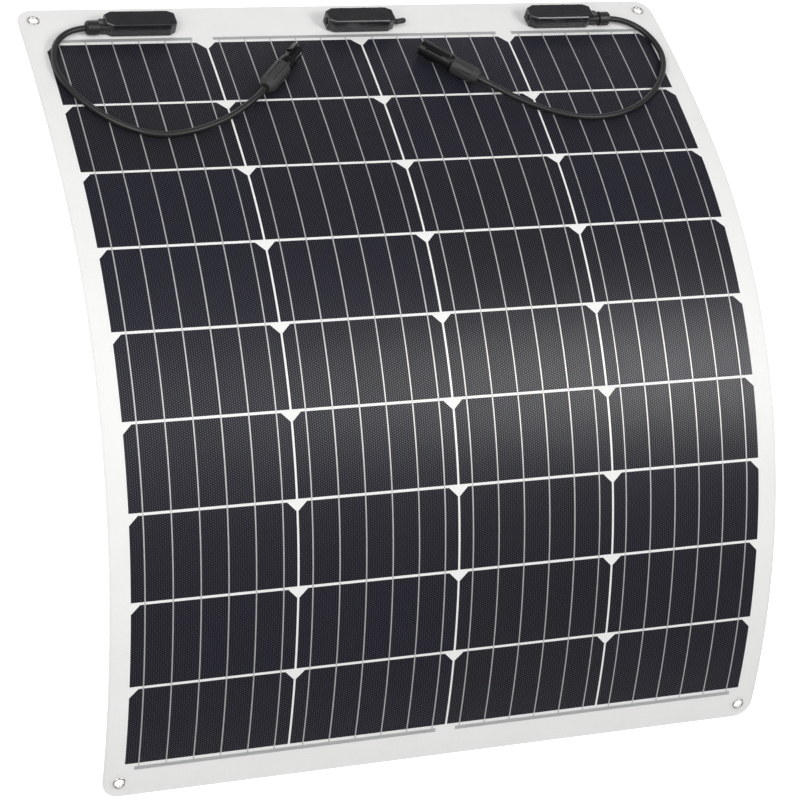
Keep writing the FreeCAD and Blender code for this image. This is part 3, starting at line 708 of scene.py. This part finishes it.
# ---- eyelets ------------------------------------------------------------------------------
def turned_about_z(profile, steps):
    """A closed ring turned from a closed (radius, high) profile."""
    ring = bmesh.new()
    loops = []
    for k in range(steps):
        turn = 2 * math.pi * k / steps
        cos, sin = math.cos(turn), math.sin(turn)
        loops.append([ring.verts.new((r * cos, r * sin, z)) for r, z in profile])
    for a, b in zip(loops, loops[1:] + loops[:1]):
        for k in range(len(profile)):
            j = (k + 1) % len(profile)
            ring.faces.new((a[k], b[k], b[j], a[j])).smooth = True
    bmesh.ops.recalc_face_normals(ring, faces=ring.faces[:])
    return ring


def rolled_lip(face, out):
    """The lip on one face: (radius, high) from the bore, over its crest to the barrel."""
    shares = (  # radius, and the share of the lip's height
        (EYELET_BORE, 0.0),
        (EYELET_BORE + 0.12 * MM, 0.34),
        (EYELET_BORE + 0.42 * MM, 0.72),
        (EYELET_BORE + 0.9 * MM, 0.95),
        (EYELET_BORE + 1.4 * MM, 1.0),
        (EYELET_FLANGE - 0.38 * MM, 0.86),
        (EYELET_FLANGE - 0.1 * MM, 0.52),
        (EYELET_FLANGE, 0.16),
        (EYELET_FLANGE - 0.05 * MM, 0.0),
        (EYELET_BARREL, 0.0),
    )
    return [(radius, face + out * EYELET_LIP * share) for radius, share in shares]


def eyelet_profile():
    """The barrel, with the lip rolled over on each face of the sheet."""
    upper = rolled_lip(FILM + EYELET_SEAT, 1)
    lower = rolled_lip(-LAMINATE - EYELET_SEAT, -1)
    return upper + lower[::-1]


def make_eyelets():
    """The two eyelets of each end of the sheet as one piece."""
    spots = eyelet_spots()
    for body, two in (("head", spots[:2]), ("tail", spots[2:])):
        both = bmesh.new()
        for across, along in two:
            ring = turned_about_z(eyelet_profile(), 56)
            ring.transform(seat(across, along))
            mesh = bpy.data.meshes.new("ring")
            ring.to_mesh(mesh)
            both.from_mesh(mesh)
            ring.free()
        for edge in both.edges:
            edge.smooth = edge.calc_face_angle() < math.radians(50)
        mesh = bpy.data.meshes.new(f"eyelets_{body}")
        both.to_mesh(mesh)
        both.free()
        piece = new_piece(f"rolled_eyelets_{body}", mesh, "eyelet_metal", f"eyelets_{body}")
        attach(piece, body)


make_eyelets()


# ---- moulded pieces -----------------------------------------------------------------------
SIDE_NAMES = {0: "", 1: "_right", -1: "_left"}


def softened(node, body, slot, width, sharp=33, side=0):
    """The node's own shape, with edges sharper than so many degrees rounded by the width.

    A side of 1 or -1 takes only the node's solids on the right or the left.
    """
    shape = bmesh.new()
    shape.from_mesh(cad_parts[node].data)
    away = [v for v in shape.verts if v.co.x * side < 0]
    bmesh.ops.delete(shape, geom=away, context="VERTS")
    bmesh.ops.remove_doubles(shape, verts=shape.verts[:], dist=0.002 * MM)
    bmesh.ops.dissolve_limit(
        shape,
        angle_limit=math.radians(0.6),
        verts=shape.verts[:],
        edges=shape.edges[:],
        delimit={"NORMAL"},
    )
    bmesh.ops.recalc_face_normals(shape, faces=shape.faces[:])
    for face in shape.faces:
        face.smooth = True
    for edge in shape.edges:
        edge.smooth = len(edge.link_faces) == 2 and edge.calc_face_angle() < math.radians(sharp)
    name = f"{node}_finished{SIDE_NAMES[side]}"
    mesh = bpy.data.meshes.new(name)
    shape.to_mesh(mesh)
    shape.free()
    piece = new_piece(name, mesh, slot, node)
    rounding = piece.modifiers.new("rounding", "BEVEL")
    rounding.width = width
    rounding.segments = 2
    rounding.limit_method = "ANGLE"
    rounding.angle_limit = math.radians(sharp)
    rounding.harden_normals = True
    rounding.use_clamp_overlap = True
    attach(piece, body)
    return piece


for side in ("left", "middle", "right"):
    softened(f"box_base_{side}", "head", "box_plastic", 0.3 * MM, sharp=20)
    softened(f"box_lid_{side}", f"lid_{side}", "lid_plastic", 0.3 * MM, sharp=20)
softened("lead_glands", "head", "gland_plastic", 0.25 * MM)
softened("gland_nuts", "head", "gland_plastic", 0.25 * MM)
softened("port_blanks", "head", "gland_plastic", 0.25 * MM)
plug_nut = softened("plug_nut", "plug_nut", "nut_plastic", 0.25 * MM)
plug_body = softened("plug_body", "head", "connector_plastic", 0.2 * MM)
plug_pin = softened("plug_pin", "head", "contact_metal", 0.15 * MM)
arms = [
    softened(f"latch_arm_{side}", f"latch_arm_{side}", "connector_plastic", 0.25 * MM)
    for side in ("left", "right")
]
socket_nut = softened("socket_nut", "socket_nut", "nut_plastic", 0.25 * MM)
socket_body = softened("socket_body", "head", "connector_plastic", 0.2 * MM)
socket_contact = softened("socket_contact", "head", "contact_metal", 0.12 * MM)
left_collet, right_collet = [
    softened("lead_collets", "head", "seal_rubber", 0.1 * MM, side=side) for side in (-1, 1)
]

# The pieces inside the boxes keep their CAD shape.
for node, slot in (
    ("box_potting", "potting"),
    ("box_terminals", "terminal_copper"),
    ("bypass_diodes", "diode_body"),
    ("adhesive_pads", "adhesive"),
):
    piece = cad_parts[node]
    for material_slot in piece.material_slots:
        material_slot.link = "OBJECT"
        material_slot.material = LOOKS[slot]

# ---- floor and light ----------------------------------------------------------------------
def make_floor(radius, high):
    """A plain pale disc, which glows a little so that it stays white."""
    mesh = bpy.data.meshes.new("floor")
    disc = bmesh.new()
    bmesh.ops.create_circle(disc, cap_ends=True, segments=64, radius=radius)
    disc.to_mesh(mesh)
    disc.free()
    floor = bpy.data.objects.new("floor", mesh)
    floor.location.z = high
    bpy.context.scene.collection.objects.link(floor)
    material, _, shader = new_material(
        "floor", Base_Color=(0.86, 0.86, 0.86, 1), Roughness=0.9, Specular_IOR_Level=0.1
    )
    shader.inputs["Emission Color"].default_value = (1, 1, 1, 1)
    shader.inputs["Emission Strength"].default_value = 0.6
    mesh.materials.append(material)
    return floor


floor = make_floor(14, -0.4 * MM)


def softbox(name, at, towards, size, power):
    """A rectangular lamp, in watts, turned towards a point."""
    data = bpy.data.lights.new(name, "AREA")
    data.shape = "RECTANGLE"
    data.size, data.size_y = size
    data.energy = power
    light = bpy.data.objects.new(name, data)
    light.location = at
    light.rotation_euler = (Vector(towards) - Vector(at)).to_track_quat("-Z", "Y").to_euler()
    bpy.context.scene.collection.objects.link(light)


SHEET_MIDDLE = (0, 0, 0.1)
softbox("key", (1.62, 0.04, 2.71), SHEET_MIDDLE, (1.1, 1.1), 45)
softbox("fill", (-1.45, 0.12, 2.65), SHEET_MIDDLE, (2.2, 2.2), 73)

world = bpy.data.worlds.new("studio")
world.use_nodes = True
sky = world.node_tree.nodes["Background"]
sky.inputs["Color"].default_value = (0.96, 0.98, 1.0, 1)
sky.inputs["Strength"].default_value = 0.22
bpy.context.scene.world = world
bpy.context.scene.view_settings.view_transform = "Standard"
